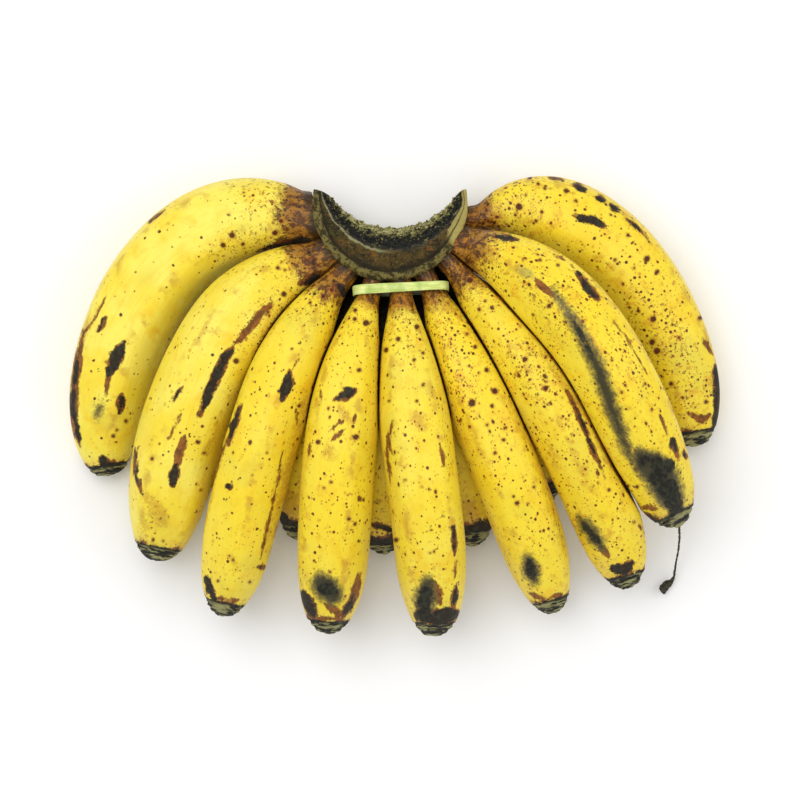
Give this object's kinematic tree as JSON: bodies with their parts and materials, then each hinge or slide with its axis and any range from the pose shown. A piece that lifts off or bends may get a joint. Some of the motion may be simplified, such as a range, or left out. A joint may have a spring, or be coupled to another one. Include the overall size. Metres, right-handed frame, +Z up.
{
  "type": "bunch of bananas",
  "caption": "Hand of short, plump ripe bananas in two rows fanned from one crescent crown, cut from its stalk and lying on a surface.",
  "frame": {"origin": "middle of the hand's bounding box, on the surface that it lies on", "axes": "+X across the fan, to the right seen from above with the crown at the far side; +Y from the fruit tips toward the crown; +Z up"},
  "size_m": [0.2899, 0.2037, 0.0844],
  "materials": {
    "banana_peel": "satin, ripe yellow with brown freckles and bruises",
    "crown_fibre": "rough, dark green-brown plant fibre",
    "green_strap": "satin, pale yellow-green strip",
    "dried_flower": "rough, dried black-brown"
  },
  "bodies": {
    "root": {"front_banana_1": "banana_peel", "front_banana_2": "banana_peel", "front_banana_3": "banana_peel", "front_banana_4": "banana_peel", "front_banana_5": "banana_peel", "front_banana_6": "banana_peel", "front_banana_7": "banana_peel", "front_banana_8": "banana_peel", "front_banana_9": "banana_peel", "back_banana_1": "banana_peel", "back_banana_2": "banana_peel", "back_banana_3": "banana_peel", "back_banana_4": "banana_peel", "back_banana_5": "banana_peel", "crown": "crown_fibre", "tie_band": "green_strap", "dried_flower_thread": "dried_flower"}
  },
  "joints": []
}
